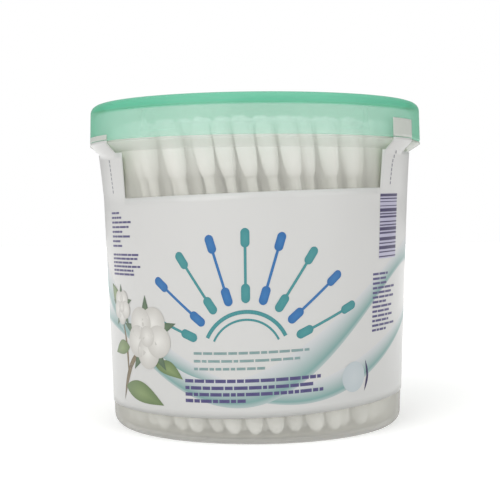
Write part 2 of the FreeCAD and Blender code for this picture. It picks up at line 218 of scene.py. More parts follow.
# Tub: one injection moulding of clear polypropylene, thin-walled, with a foot ring, a raised
# floor, a tapered wall, a collar that the lid stops on and a neck with a snap bead.
# The clear plastic is slightly milky, and milkier where it is seen edge on. The grey it takes there
# and towards its foot ring is painted shade, for the floor's shadow and darker surroundings seen
# through it.
FLOOR_TOP = 1.6
UNDERSIDE = 0.7
RING_INSIDE = 32.1
WALL_FOOT_RADIUS = 36.5
WALL_TAPER = 2.4
WALL_TOP = 68.2
WALL = 0.9
COLLAR_RADIUS = 42.0
LIP_FOOT = 70.2
COLLAR_TOP = 70.6
NECK_RADIUS = 40.4
NECK_INSIDE = 39.4
NECK_RIM = 77.7
BEAD_FOOT = 73.6
BEAD_TOP = 74.6
BEAD = 0.15
BEAD_SLOPE = 0.25
LATHE_STEPS = 256
ARC_STEPS = 7
PLASTIC_IOR = 1.49
SHINE = 0.45
EDGE_POWER = 2.0
LIT_BEHIND = 0.3
FLOW_MARKS = 0.1
FLOW_DEPTH = 0.4


def wall_at(height):
    """Outside radius of the tapered wall."""
    return WALL_FOOT_RADIUS + WALL_TAPER * height / WALL_TOP


def rounded(corners):
    """A closed profile of (radius, height, rounding) corners, each rounding drawn as an arc."""
    points = []
    for at, (r, z, rounding) in enumerate(corners):
        here = Vector((r, z))
        if rounding == 0:
            points.append(here)
            continue
        before = (Vector(corners[at - 1][:2]) - here).normalized()
        after = (Vector(corners[(at + 1) % len(corners)][:2]) - here).normalized()
        half = before.angle(after) / 2
        reach = rounding / math.tan(half)
        middle = here + (before + after).normalized() * rounding / math.sin(half)
        first = here + before * reach - middle
        last = here + after * reach - middle
        turn = first.angle_signed(last)
        for step in range(ARC_STEPS + 1):
            arm = first.copy()
            arm.rotate(Matrix.Rotation(-turn * step / ARC_STEPS, 2))
            points.append(middle + arm)
    return points


def lathe(corners):
    """A closed round solid from a closed profile that may touch the axis."""
    bm = bmesh.new()
    rings = []
    for r, z in rounded(corners):
        if r == 0.0:
            rings.append([bm.verts.new((0, 0, z))])
            continue
        ring = []
        for step in range(LATHE_STEPS):
            a = 2 * math.pi * step / LATHE_STEPS
            ring.append(bm.verts.new((r * math.cos(a), r * math.sin(a), z)))
        rings.append(ring)
    for at, ring in enumerate(rings):
        over = rings[(at + 1) % len(rings)]
        if len(ring) == 1 and len(over) == 1:
            continue
        for step in range(LATHE_STEPS):
            after = (step + 1) % LATHE_STEPS
            corners_here = [ring[step], ring[after]] if len(ring) > 1 else [ring[0]]
            corners_over = [over[after], over[step]] if len(over) > 1 else [over[0]]
            bm.faces.new(corners_here + corners_over)
    bmesh.ops.recalc_face_normals(bm, faces=bm.faces)
    return bm


# Each corner of the tub's section: its radius, its height and its rounding.
tub_profile = [
    (0.0, UNDERSIDE, 0),
    (RING_INSIDE, UNDERSIDE, 0.3),
    (RING_INSIDE, 0.0, 0.25),
    (WALL_FOOT_RADIUS, 0.0, 3.0),
    (wall_at(WALL_TOP), WALL_TOP, 0.3),
    (COLLAR_RADIUS, LIP_FOOT, 0.15),
    (COLLAR_RADIUS, COLLAR_TOP, 0.15),
    (NECK_RADIUS, COLLAR_TOP, 0.2),
    (NECK_RADIUS, BEAD_FOOT, 0),
    (NECK_RADIUS + BEAD, BEAD_FOOT + BEAD_SLOPE, 0.1),
    (NECK_RADIUS + BEAD, BEAD_TOP - BEAD_SLOPE, 0.1),
    (NECK_RADIUS, BEAD_TOP, 0),
    (NECK_RADIUS, NECK_RIM, 0.3),
    (NECK_INSIDE, NECK_RIM, 0.3),
    (NECK_INSIDE, LIP_FOOT, 0.2),
    (wall_at(WALL_TOP) - WALL, WALL_TOP, 0.2),
    (wall_at(FLOOR_TOP) - WALL, FLOOR_TOP, 1.8),
    (0.0, FLOOR_TOP, 0),
]


def moulded_plastic(
    name, milk_colour, deep_and_shade_colour, milk_facing, milk_edge, thickness_and_shade_zone, kept_colour, depth
):
    """A see-through plastic with milk in it, which takes up light over its thickness. It is deeper
    where it is seen edge on, and from the first to the second height of its thickness and shade
    zone, where it reaches the zone's third value. On the lid the deep colour is the green of thick
    plastic; on the tub it is painted shade. Its surface casts no shadow on what is inside."""
    made, tree = new_material(name)
    where = node(tree, "ShaderNodeTexCoord")
    # The wall's slight flow marks are about 10 mm across.
    flow = node(
        tree,
        "ShaderNodeTexNoise",
        sockets={
            "Vector": where.outputs["Object"],
            "Scale": FLOW_MARKS / MM,
            "Detail": 3.0,
            "Roughness": 0.5,
        },
    )
    ripple = node(
        tree,
        "ShaderNodeBump",
        sockets={"Strength": 0.1, "Distance": FLOW_DEPTH * MM, "Height": flow.outputs["Fac"]},
    )
    through = node(tree, "ShaderNodeBsdfTransparent", sockets={"Color": linear("#ffffff")})
    edge_on = node(tree, "ShaderNodeLayerWeight", sockets={"Blend": 0.3})
    last_edge = node(
        tree,
        "ShaderNodeMath",
        {"operation": "POWER"},
        {0: edge_on.outputs["Facing"], 1: EDGE_POWER},
    )
    place = node(tree, "ShaderNodeSeparateXYZ", sockets={"Vector": where.outputs["Object"]})
    # Share of the zone: thicker plastic on the lid, painted shade at the tub's foot.
    thick = node(
        tree,
        "ShaderNodeMapRange",
        sockets={
            0: place.outputs["Z"],
            1: thickness_and_shade_zone[0] * MM,
            2: thickness_and_shade_zone[1] * MM,
            3: 0.0,
            4: thickness_and_shade_zone[2],
        },
    )
    depth_and_shade_seen = node(
        tree,
        "ShaderNodeMath",
        {"operation": "MAXIMUM"},
        {0: last_edge.outputs[0], 1: thick.outputs[0]},
    )
    tone = node(
        tree,
        "ShaderNodeMix",
        {"data_type": "RGBA"},
        {"Factor": depth_and_shade_seen.outputs[0], "A": linear(milk_colour), "B": linear(deep_and_shade_colour)},
    )
    lit = node(
        tree,
        "ShaderNodeBsdfDiffuse",
        sockets={"Color": tone.outputs["Result"], "Normal": ripple.outputs[0]},
    )
    lit_behind = node(tree, "ShaderNodeBsdfTranslucent", sockets={"Color": tone.outputs["Result"]})
    milk = node(
        tree,
        "ShaderNodeMixShader",
        sockets={0: LIT_BEHIND, 1: lit.outputs[0], 2: lit_behind.outputs[0]},
    )
    haze = node(
        tree,
        "ShaderNodeMapRange",
        sockets={0: edge_on.outputs["Facing"], 1: 0.0, 2: 1.0, 3: milk_facing, 4: milk_edge},
    )
    hazier = node(
        tree, "ShaderNodeMath", {"operation": "MAXIMUM"}, {0: haze.outputs[0], 1: thick.outputs[0]}
    )
    body = node(
        tree,
        "ShaderNodeMixShader",
        sockets={0: hazier.outputs[0], 1: through.outputs[0], 2: milk.outputs[0]},
    )
    shine = node(
        tree,
        "ShaderNodeBsdfGlossy",
        sockets={"Color": linear("#ffffff"), "Roughness": 0.22, "Normal": ripple.outputs[0]},
    )
    # Only the faces towards the eye shine. Through a wall that doesn't bend light, the far faces of
    # a slanted wall would be full mirrors.
    mirror = node(
        tree, "ShaderNodeFresnel", sockets={"IOR": PLASTIC_IOR, "Normal": ripple.outputs[0]}
    )
    facing = node(tree, "ShaderNodeNewGeometry")
    near_side = node(
        tree,
        "ShaderNodeMath",
        {"operation": "MULTIPLY_ADD"},
        {0: facing.outputs["Backfacing"], 1: -SHINE, 2: SHINE},
    )
    share = node(
        tree,
        "ShaderNodeMath",
        {"operation": "MULTIPLY"},
        {0: mirror.outputs[0], 1: near_side.outputs[0]},
    )
    seen = node(
        tree,
        "ShaderNodeMixShader",
        sockets={0: share.outputs[0], 1: body.outputs[0], 2: shine.outputs[0]},
    )
    rays = node(tree, "ShaderNodeLightPath")
    lighting = node(
        tree,
        "ShaderNodeMath",
        {"operation": "MAXIMUM"},
        {0: rays.outputs["Is Shadow Ray"], 1: rays.outputs["Is Diffuse Ray"]},
    )
    surface = node(
        tree,
        "ShaderNodeMixShader",
        sockets={0: lighting.outputs[0], 1: seen.outputs[0], 2: through.outputs[0]},
    )
    taken_up = node(
        tree, "ShaderNodeVolumeAbsorption", sockets={"Color": linear(kept_colour), "Density": depth}
    )
    node(
        tree,
        "ShaderNodeOutputMaterial",
        sockets={"Surface": surface.outputs[0], "Volume": taken_up.outputs[0]},
    )
    return made


# The clear plastic lets nearly all of the light by. Its grey at the edges and towards the foot ring
# is painted shade: the floor's shadow seen through the base.
clear_plastic = moulded_plastic(
    "clear_polypropylene_moulded",
    milk_colour="#f3f1e8",
    deep_and_shade_colour="#8f8d88",
    milk_facing=0.28,
    milk_edge=0.85,
    thickness_and_shade_zone=(2.2, 1.0, 0.56),
    kept_colour="#e2e2da",
    depth=40.0,
)
tub = new_object("tub_shell", lathe(tub_profile), clear_plastic)
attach(tub, "tub")
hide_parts("tub")


# Lid: one injection moulding of green translucent polypropylene, pushed over the neck. Its skirt
# has a bead inside, and its panel is sunk inside a stacking rim.
# The green is pale through one wall and deep where the wall is seen edge on.
SKIRT_FOOT = 70.9
LID_TOP = 80.4
LID_DRAFT = 0.24
SKIRT_INSIDE = 41.0
PANEL_FOOT = 77.9
PANEL_TOP = 78.9
RIM_INSIDE = 38.76
SKIRT_BEAD_FOOT = 72.3
SKIRT_BEAD_TOP = 73.3

lid_profile = [
    (COLLAR_RADIUS, SKIRT_FOOT, 0.25),
    (COLLAR_RADIUS - LID_DRAFT, LID_TOP, 2.0),
    (RIM_INSIDE, LID_TOP, 0.6),
    (RIM_INSIDE, PANEL_TOP, 0.4),
    (0.0, PANEL_TOP, 0),
    (0.0, PANEL_FOOT, 0),
    (SKIRT_INSIDE, PANEL_FOOT, 0.5),
    (SKIRT_INSIDE, SKIRT_BEAD_TOP, 0),
    (SKIRT_INSIDE - BEAD, SKIRT_BEAD_TOP - BEAD_SLOPE, 0.1),
    (SKIRT_INSIDE - BEAD, SKIRT_BEAD_FOOT + BEAD_SLOPE, 0.1),
    (SKIRT_INSIDE, SKIRT_BEAD_FOOT, 0),
    (SKIRT_INSIDE, SKIRT_FOOT, 0.25),
]

green_plastic = moulded_plastic(
    "green_translucent_polypropylene_moulded",
    milk_colour="#cff7e6",
    deep_and_shade_colour="#1cc497",
    milk_facing=0.19,
    milk_edge=0.85,
    thickness_and_shade_zone=(77.2, 78.4, 0.71),
    kept_colour="#3de7c8",
    depth=170.0,
)
lid = new_object("lid_shell", lathe(lid_profile), green_plastic)
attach(lid, "lid")
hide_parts("lid")


# Paper sticks: each is a strip of white paper rolled tight and glued, so a faint spiral seam
# runs round it. They stay as the CAD has them, with this paper on them.
WELD_DISTANCE = 0.001
SEAM_BANDS = 0.052
PAPER_FIBRES = 1.8
PAPER_NAP = 0.1

paper, tree = new_material("rolled_white_paper")
where = node(tree, "ShaderNodeTexCoord")
# The seam comes round about every 6 mm along the stick.
seam = node(
    tree,
    "ShaderNodeTexWave",
    {"wave_type": "BANDS", "bands_direction": "Z"},
    {"Vector": where.outputs["Object"], "Scale": SEAM_BANDS / MM, "Distortion": 1.5, "Detail": 1.0},
)
fibre = node(
    tree,
    "ShaderNodeTexNoise",
    sockets={"Vector": where.outputs["Object"], "Scale": PAPER_FIBRES / MM, "Detail": 4.0},
)
tone = node(
    tree,
    "ShaderNodeMix",
    {"data_type": "RGBA"},
    {"Factor": seam.outputs["Fac"], "A": linear("#e4e3de"), "B": linear("#efeeea")},
)
rise = node(
    tree,
    "ShaderNodeBump",
    sockets={"Strength": 0.3, "Distance": PAPER_NAP * MM, "Height": fibre.outputs["Fac"]},
)
rolled = node(
    tree,
    "ShaderNodeBsdfPrincipled",
    sockets={"Base Color": tone.outputs["Result"], "Roughness": 0.7, "Normal": rise.outputs[0]},
)
node(tree, "ShaderNodeOutputMaterial", sockets={"Surface": rolled.outputs[0]})

stick_rows = sorted(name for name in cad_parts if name.startswith("sticks_row_"))
for name in stick_rows:
    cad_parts[name].data.materials.clear()
    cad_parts[name].data.materials.append(paper)


# Cotton heads: loose cotton wound on the stick's end into a bulb, fullest near its tip and
# drawn in at its shoulder. The winding leaves soft turns and a fuzz of fibres on it.
COTTON_RADIUS = 2.28
COTTON_LENGTH = 14.5
COTTON_CAP = 2.5
TIP_INSET = 0.06
HEAD_SIDES = 20
LUMP = 0.03
LUMPS_ROUND = 1.1
LUMPS_ALONG = 5.0
WRAP = 0.012
WRAPS_ALONG = 26.0
COTTON_TUFTS = 1.5
COTTON_LAYERS = 0.26
COTTON_FUZZ = 0.2
# Share of the head's length from its tip, and share of its full radius there.
HEAD_SHAPE = [
    (0.0, 0.0),
    (0.006, 0.2),
    (0.022, 0.38),
    (0.05, 0.56),
    (0.09, 0.7),
    (0.14, 0.81),
    (0.2, 0.9),
    (0.28, 0.965),
    (0.37, 0.995),
    (0.46, 1.0),
    (0.56, 0.98),
    (0.66, 0.945),
    (0.75, 0.9),
    (0.83, 0.84),
    (0.9, 0.75),
    (0.96, 0.63),
    (1.0, 0.53),
]

cotton, tree = new_material("wound_cotton_wool")
where = node(tree, "ShaderNodeTexCoord")
# Fibres are far finer than a pixel, so tufts of about 0.5 mm are drawn in their place.
tufts = node(
    tree,
    "ShaderNodeTexNoise",
    sockets={
        "Vector": where.outputs["Object"],
        "Scale": COTTON_TUFTS / MM,
        "Detail": 5.0,
        "Roughness": 0.65,
    },
)
layers = node(
    tree,
    "ShaderNodeTexNoise",
    sockets={"Vector": where.outputs["Object"], "Scale": COTTON_LAYERS / MM, "Detail": 2.0},
)
tone = node(
    tree,
    "ShaderNodeMix",
    {"data_type": "RGBA"},
    {"Factor": layers.outputs["Fac"], "A": linear("#f4f3ef"), "B": linear("#fbfbf9")},
)
rise = node(
    tree,
    "ShaderNodeBump",
    sockets={"Strength": 0.5, "Distance": COTTON_FUZZ * MM, "Height": tufts.outputs["Fac"]},
)
wool = node(
    tree,
    "ShaderNodeBsdfPrincipled",
    sockets={
        "Base Color": tone.outputs["Result"],
        "Roughness": 0.95,
        "Sheen Weight": 0.25,
        "Sheen Roughness": 0.5,
        "Specular IOR Level": 0.1,
        "Normal": rise.outputs[0],
    },
)
node(tree, "ShaderNodeOutputMaterial", sockets={"Surface": wool.outputs[0]})


def sticks_in(row):
    """The two end points of each stick of a row, lower end first, in millimetres."""
    bm = bmesh.new()
    bm.from_mesh(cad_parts[row].data)
    bmesh.ops.remove_doubles(bm, verts=bm.verts, dist=WELD_DISTANCE * MM)
    left = set(bm.verts)
    found = []
    while left:
        waiting = [left.pop()]
        island = []
        while waiting:
            vert = waiting.pop()
            island.append(vert.co / MM)
            for edge in vert.link_edges:
                other = edge.other_vert(vert)
                if other in left:
                    left.remove(other)
                    waiting.append(other)
        places = np.array(island)
        middle = places.mean(0)
        along = np.linalg.svd(places - middle)[2][0]
        along = along if along[2] > 0 else -along
        reach = (places - middle) @ along
        middle = middle + along * (reach.max() + reach.min()) / 2
        half = along * (reach.max() - reach.min()) / 2
        found.append((Vector(middle - half), Vector(middle + half)))
    bm.free()
    return sorted(found, key=lambda ends: (round(ends[0].x, 3), round(ends[0].y, 3)))


def wind_head(bm, tip, inward, dice):
    """Adds one cotton head whose tip is given, and whose axis points in along the stick."""
    across = inward.orthogonal().normalized()
    beside = inward.cross(across)
    seed = Vector([dice.uniform(-50, 50) for _ in range(3)])
    turn = dice.uniform(0, 2 * math.pi)
    rings = []
    for share, wide in HEAD_SHAPE:
        here = tip + inward * share * COTTON_LENGTH
        if wide == 0.0:
            rings.append([bm.verts.new(here)])
            continue
        ring = []
        for side in range(HEAD_SIDES):
            a = 2 * math.pi * side / HEAD_SIDES + turn
            arm = across * math.cos(a) + beside * math.sin(a)
            lump = noise.noise(seed + arm * LUMPS_ROUND + inward * share * LUMPS_ALONG)
            wrap = math.sin(a + share * WRAPS_ALONG)
            radius = COTTON_RADIUS * wide * (1 + LUMP * lump + WRAP * wrap)
            ring.append(bm.verts.new(here + arm * radius))
        rings.append(ring)
    for ring, over in zip(rings, rings[1:]):
        for side in range(HEAD_SIDES):
            after = (side + 1) % HEAD_SIDES
            if len(ring) == 1:
                bm.faces.new([ring[0], over[after], over[side]])
            else:
                bm.faces.new([ring[side], ring[after], over[after], over[side]])
    bm.faces.new(rings[-1])


dice = random.Random(5)
for row in stick_rows:
    bm = bmesh.new()
    for low, high in sticks_in(row):
        up = (high - low).normalized()
        wind_head(bm, low - up * (COTTON_CAP - TIP_INSET), up, dice)
        wind_head(bm, high + up * (COTTON_CAP - TIP_INSET), -up, dice)
    bmesh.ops.recalc_face_normals(bm, faces=bm.faces)
    number = row[len("sticks_row_") :]
    heads = new_object(f"cotton_heads_{number}", bm, cotton)
    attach(heads, "tub")
    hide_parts(f"cotton_row_{number}")


# Label: white plastic film, printed and wrapped once round the wall a little out of level. It has
# a window at the front and back, and two risers that run over the collar to the lid's seal tabs.
# Glossy film with faint wrinkles, drawn tight like a tent where a riser bridges to the collar.
FILM_LIFT = 0.2
FILM_THICK = 0.08
LABEL_FOOT = 6.6
LABEL_TOP = 67.9
WINDOW_FOOT = 58.0
WINDOW_LEFT = 31.0
WINDOW_RIGHT = 29.35
LABEL_SLOPE = math.tan(math.radians(1.9))
SLOPE_ROUNDS = 3
FOOT_CLIMB = 0.9
RISERS = {"right": (50.4, 64.0), "left": (-75.8, -56.8)}
TENT_FOOT = 57.0
TENT_LIFT = 0.9
TENT_FEATHER = 26.0
TENT_CURVE = 1.1
RIPPLE = 0.05
RIPPLES_ROUND = 5.0
RIPPLE_HEIGHT = 9.0
BELT_ROWS = 30
PANEL_ROWS = 8
COLUMN_ANGLE = 1.5
CLOSE_SHARE = 0.004
RISER_SLACK = 0.01
# A riser's share of the way out from the wall to the collar's edge, and its height there.
RISER_COURSE = [(0.3, 68.6), (0.65, 69.4), (0.97, 70.15), (1.0, 70.3), (1.0, 70.85)]
FILM_CREASES = 0.12
FILM_CREASE_DEPTH = 0.4
FILM_CAST = 0.022
FILM_LETS_BY = 0.5
GLUE_MOTTLE = 0.3


def tent(angle, height):
    """How far the film stands off the wall near a riser."""
    lift = 0.0
    for low, high in RISERS.values():
        away = max(low - angle, angle - high, 0.0) / TENT_FEATHER
        if away < 1 and height > TENT_FOOT:
            up = min(1.0, (height - TENT_FOOT) / (WALL_TOP - TENT_FOOT))
            lift = max(lift, TENT_LIFT * up**TENT_CURVE * (1 - away * away * (3 - 2 * away)))
    return lift


def film_point(angle, height, lift):
    """A point over the wall, at an angle from the front and a height."""
    a = math.radians(angle)
    place = Vector(
        (math.cos(a) * RIPPLES_ROUND, math.sin(a) * RIPPLES_ROUND, height / RIPPLE_HEIGHT)
    )
    ripple = RIPPLE * noise.noise(place)
    radius = wall_at(height) + lift + ripple + tent(angle, height)
    return Vector((radius * math.sin(a), -radius * math.cos(a), height))


def window_edge(half_width, height):
    """Angle from the front of a window's upright edge."""
    return math.degrees(math.asin(half_width / (wall_at(height) + FILM_LIFT)))


def level_over(angle, height_at_front):
    """Height of a line of the tilted label, whose height is given at the middle. Low down, the
    straight strip climbs a little to the sides, as it is wrapped on a taper."""
    aside = math.sin(math.radians(angle))
    low_down = max(0.0, (WINDOW_FOOT - height_at_front) / (WINDOW_FOOT - LABEL_FOOT))
    climb = FOOT_CLIMB * low_down * aside**2
    height = height_at_front
    for _ in range(SLOPE_ROUNDS):
        height = height_at_front + climb + wall_at(height) * aside * LABEL_SLOPE
    return height


def label_anchors(height):
    """Angles of the four window edges at a height, round from the front window's left edge."""
    left = window_edge(WINDOW_LEFT, height)
    right = window_edge(WINDOW_RIGHT, height)
    return [-left, right, 180 - right, 180 + left, 360 - left]


film, tree = new_material("glossy_white_plastic_film")
where = node(tree, "ShaderNodeTexCoord")
crease = node(
    tree,
    "ShaderNodeTexNoise",
    sockets={
        "Vector": where.outputs["Object"],
        "Scale": FILM_CREASES / MM,
        "Detail": 3.0,
        "Distortion": 0.6,
    },
)
cast = node(
    tree,
    "ShaderNodeTexNoise",
    sockets={"Vector": where.outputs["Object"], "Scale": FILM_CAST / MM, "Detail": 1.0},
)
tone = node(
    tree,
    "ShaderNodeMix",
    {"data_type": "RGBA"},
    {"Factor": cast.outputs["Fac"], "A": linear("#dedddb"), "B": linear("#d8d8d6")},
)
rise = node(
    tree,
    "ShaderNodeBump",
    sockets={"Strength": 0.12, "Distance": FILM_CREASE_DEPTH * MM, "Height": crease.outputs["Fac"]},
)
gloss = node(
    tree,
    "ShaderNodeBsdfPrincipled",
    sockets={
        "Base Color": tone.outputs["Result"],
        "Roughness": 0.32,
        "IOR": 1.5,
        "Coat Weight": 0.2,
        "Coat Roughness": 0.12,
        "Normal": rise.outputs[0],
    },
)
# The thin film lets about half of the light through, though nothing is seen through its print.
rays = node(tree, "ShaderNodeLightPath")
lighting = node(
    tree,
    "ShaderNodeMath",
    {"operation": "MAXIMUM"},
    {0: rays.outputs["Is Shadow Ray"], 1: rays.outputs["Is Diffuse Ray"]},
)
let_by = node(
    tree, "ShaderNodeMath", {"operation": "MULTIPLY"}, {0: lighting.outputs[0], 1: FILM_LETS_BY}
)
through = node(tree, "ShaderNodeBsdfTransparent", sockets={"Color": linear("#ffffff")})
sheet = node(
    tree,
    "ShaderNodeMixShader",
    sockets={0: let_by.outputs[0], 1: gloss.outputs[0], 2: through.outputs[0]},
)
node(tree, "ShaderNodeOutputMaterial", sockets={"Surface": sheet.outputs[0]})

# Shares of the way across each stretch between two window edges: the risers' edges are among them.
stretches = []
top_anchors = label_anchors(LABEL_TOP)
for number in range(4):
    low, high = top_anchors[number], top_anchors[number + 1]
    steps = round((high - low) / COLUMN_ANGLE)
    shares = {step / steps for step in range(steps + 1)}
    for edges in RISERS.values():
        for edge in edges:
            for turned in (edge, edge + 360):
                if low < turned < high:
                    at_edge = (turned - low) / (high - low)
                    shares = {s for s in shares if s in (0, 1) or abs(s - at_edge) > CLOSE_SHARE}
                    shares.add(at_edge)
    stretches.append(sorted(shares))

bm = bmesh.new()
belt = []
for number, shares in enumerate(stretches):
    for share in shares[:-1]:
        column = []
        for step in range(BELT_ROWS + 1):
            level = LABEL_FOOT + (WINDOW_FOOT - LABEL_FOOT) * step / BELT_ROWS
            anchors = label_anchors(level)
            angle = anchors[number] + share * (anchors[number + 1] - anchors[number])
            height = level_over(angle, level)
            column.append(bm.verts.new(film_point((angle + 180) % 360 - 180, height, FILM_LIFT)))
        belt.append((number, share, column))
for at, (number, share, column) in enumerate(belt):
    after = belt[(at + 1) % len(belt)][2]
    for step in range(BELT_ROWS):
        bm.faces.new([column[step], after[step], after[step + 1], column[step + 1]])

for number in (1, 3):
    columns = []
    start = next(at for at, one in enumerate(belt) if one[0] == number)
    for offset, share in enumerate(stretches[number]):
        foot = belt[(start + offset) % len(belt)][2][-1]
        column = [foot]
        foot_height = foot.co.z
        for step in range(1, PANEL_ROWS + 1):
            height = foot_height + (LABEL_TOP - foot_height) * step / PANEL_ROWS
            anchors = label_anchors(height)
            angle = anchors[number] + share * (anchors[number + 1] - anchors[number])
            column.append(bm.verts.new(film_point((angle + 180) % 360 - 180, height, FILM_LIFT)))
        columns.append((angle, column))
    for (_, column), (_, after) in zip(columns, columns[1:]):
        for step in range(PANEL_ROWS):
            bm.faces.new([column[step], after[step], after[step + 1], column[step + 1]])
    # The riser goes on from the panel's top edge, over the collar, to its tear line.
    for low, high in RISERS.values():
        over = []
        for angle, column in columns:
            turned = (angle + 180) % 360 - 180
            if low - RISER_SLACK < turned < high + RISER_SLACK:
                a = math.radians(turned)
                strip = [column[-1]]
                start_radius = math.hypot(column[-1].co.x, column[-1].co.y)
                for share, height in RISER_COURSE:
                    radius = start_radius + share * (COLLAR_RADIUS + FILM_LIFT - start_radius)
                    point = (radius * math.sin(a), -radius * math.cos(a), height)
                    strip.append(bm.verts.new(point))
                over.append(strip)
        for strip, after in zip(over, over[1:]):
            for step in range(len(strip) - 1):
                bm.faces.new([strip[step], after[step], after[step + 1], strip[step + 1]])

# Unprinted inner side of the film, which the swabs are seen against: matt, mottled with glue. Its
# warm tint is painted light, for the warm light that bounces about inside the tub.
film_inside, tree = new_material("unprinted_film_adhesive_side")
where = node(tree, "ShaderNodeTexCoord")
glue = node(
    tree,
    "ShaderNodeTexNoise",
    sockets={"Vector": where.outputs["Object"], "Scale": GLUE_MOTTLE / MM, "Detail": 2.0},
)
tone = node(
    tree,
    "ShaderNodeMix",
    {"data_type": "RGBA"},
    {"Factor": glue.outputs["Fac"], "A": linear("#e4e2d0"), "B": linear("#eae8d8")},
)
matt = node(
    tree,
    "ShaderNodeBsdfPrincipled",
    sockets={"Base Color": tone.outputs["Result"], "Roughness": 0.6},
)
node(tree, "ShaderNodeOutputMaterial", sockets={"Surface": matt.outputs[0]})

label = new_object("label_film", bm, film)
label.data.materials.append(film_inside)
thick = label.modifiers.new("film_thickness", "SOLIDIFY")
thick.thickness = FILM_THICK * MM
thick.offset = -1.0
thick.material_offset = 1
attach(label, "tub")
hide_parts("label")


# Seal tabs: the ends of the two risers beyond the tear line, stuck on the lid's skirt. They are the
# same film, a little greyer for the adhesive under them, with an edge torn along perforations.
TAB_FOOT = 70.95
TAB_TOPS = {"right": 75.4, "left": 72.2}
TAB_ROWS = 6
TAB_COLUMNS = 22
TAB_TEETH = 0.12
TAB_GLUE_MOTTLE = 0.4
TAB_GLUE_DEPTH = 0.2


def skirt_at(height):
    """Outside radius of the lid's skirt."""
    return COLLAR_RADIUS - LID_DRAFT * (height - SKIRT_FOOT) / (LID_TOP - SKIRT_FOOT)


tab_film, tree = new_material("adhesive_backed_film")
where = node(tree, "ShaderNodeTexCoord")
glue = node(
    tree,
    "ShaderNodeTexNoise",
    sockets={"Vector": where.outputs["Object"], "Scale": TAB_GLUE_MOTTLE / MM, "Detail": 3.0},
)
tone = node(
    tree,
    "ShaderNodeMix",
    {"data_type": "RGBA"},
    {"Factor": glue.outputs["Fac"], "A": linear("#cdd3ca"), "B": linear("#d9dcd5")},
)
rise = node(
    tree,
    "ShaderNodeBump",
    sockets={"Strength": 0.2, "Distance": TAB_GLUE_DEPTH * MM, "Height": glue.outputs["Fac"]},
)
gloss = node(
    tree,
    "ShaderNodeBsdfPrincipled",
    sockets={
        "Base Color": tone.outputs["Result"],
        "Roughness": 0.35,
        "IOR": 1.5,
        "Normal": rise.outputs[0],
    },
)
node(tree, "ShaderNodeOutputMaterial", sockets={"Surface": gloss.outputs[0]})

for side, (low, high) in RISERS.items():
    bm = bmesh.new()
    columns = []
    for across in range(TAB_COLUMNS + 1):
        a = math.radians(low + (high - low) * across / TAB_COLUMNS)
        tear = TAB_TEETH * (across % 2)
        column = []
        for step in range(TAB_ROWS + 1):
            height = TAB_FOOT + tear + (TAB_TOPS[side] - TAB_FOOT - tear) * step / TAB_ROWS
            radius = skirt_at(height) + FILM_LIFT
            column.append(bm.verts.new((radius * math.sin(a), -radius * math.cos(a), height)))
        columns.append(column)
    for column, after in zip(columns, columns[1:]):
        for step in range(TAB_ROWS):
            bm.faces.new([column[step], after[step], after[step + 1], column[step + 1]])
    tab = new_object(f"seal_film_{side}", bm, tab_film)
    thick = tab.modifiers.new("film_thickness", "SOLIDIFY")
    thick.thickness = FILM_THICK * MM
    thick.offset = -1.0
    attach(tab, "lid")
    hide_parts(f"seal_tab_{side}")


# Print: inks laid on the film in thin layers. Each shape is drawn flat, with its place along the
# wall from the middle and its height, and is then laid round the wall. The same print is at the
# front and at the back.
INK_LIFT = FILM_LIFT + 0.03
SECOND_INK = INK_LIFT + 0.02
THIRD_INK = INK_LIFT + 0.03
TOP_INK = INK_LIFT + 0.05
INK_CUT = 1.5
SHAPE_LIFT = 0.002
STACK_HEIGHT = 12
PRINT_RADIUS = 39.0
MOTTLE_SHARE = 0.3


def lay_print(name, shapes, material, lift=INK_LIFT, level=True, at_back=True):
    """A layer of ink from flat outlines of (along, height) corners, at the front and the back.
    Each shape is a fan, whose ink share is 1 in its middle and 0 on its outline. It lies a little
    over the shape before it, so that the two don't meet."""
    bm = bmesh.new()
    share = bm.verts.layers.float.new("ink_share")
    stack = bm.verts.layers.float.new("stack")
    for number, outline in enumerate(shapes):
        rim = [bm.verts.new((u, v, 0)) for u, v in outline]
        middle = bm.verts.new(sum((vert.co for vert in rim), Vector()) / len(rim))
        middle[share] = 1.0
        for vert in (*rim, middle):
            vert[stack] = number % STACK_HEIGHT * SHAPE_LIFT
        for corner, after in zip(rim, rim[1:] + rim[:1]):
            bm.faces.new([middle, corner, after])
    # Every layer is cut on the same lines, so that one layer stays over another round the wall.
    for across in (Vector((1, 0, 0)), Vector((0, 1, 0))):
        reach = [vert.co.dot(across) for vert in bm.verts]
        for line in range(math.ceil(min(reach) / INK_CUT), math.ceil(max(reach) / INK_CUT)):
            bmesh.ops.bisect_plane(
                bm,
                geom=bm.verts[:] + bm.edges[:] + bm.faces[:],
                plane_co=across * line * INK_CUT,
                plane_no=across,
            )
    behind = set()
    if at_back:
        copied = bmesh.ops.duplicate(bm, geom=bm.verts[:] + bm.edges[:] + bm.faces[:])["geom"]
        behind = {one for one in copied if isinstance(one, bmesh.types.BMVert)}
    for vert in bm.verts:
        angle = math.degrees(vert.co.x / PRINT_RADIUS) + (180 if vert in behind else 0)
        turned = (angle + 180) % 360 - 180
        height = level_over(turned, vert.co.y) if level else vert.co.y
        vert.co = film_point(turned, height, lift + vert[stack])
    made = new_object(name, bm, material)
    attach(made, "tub")
    return made


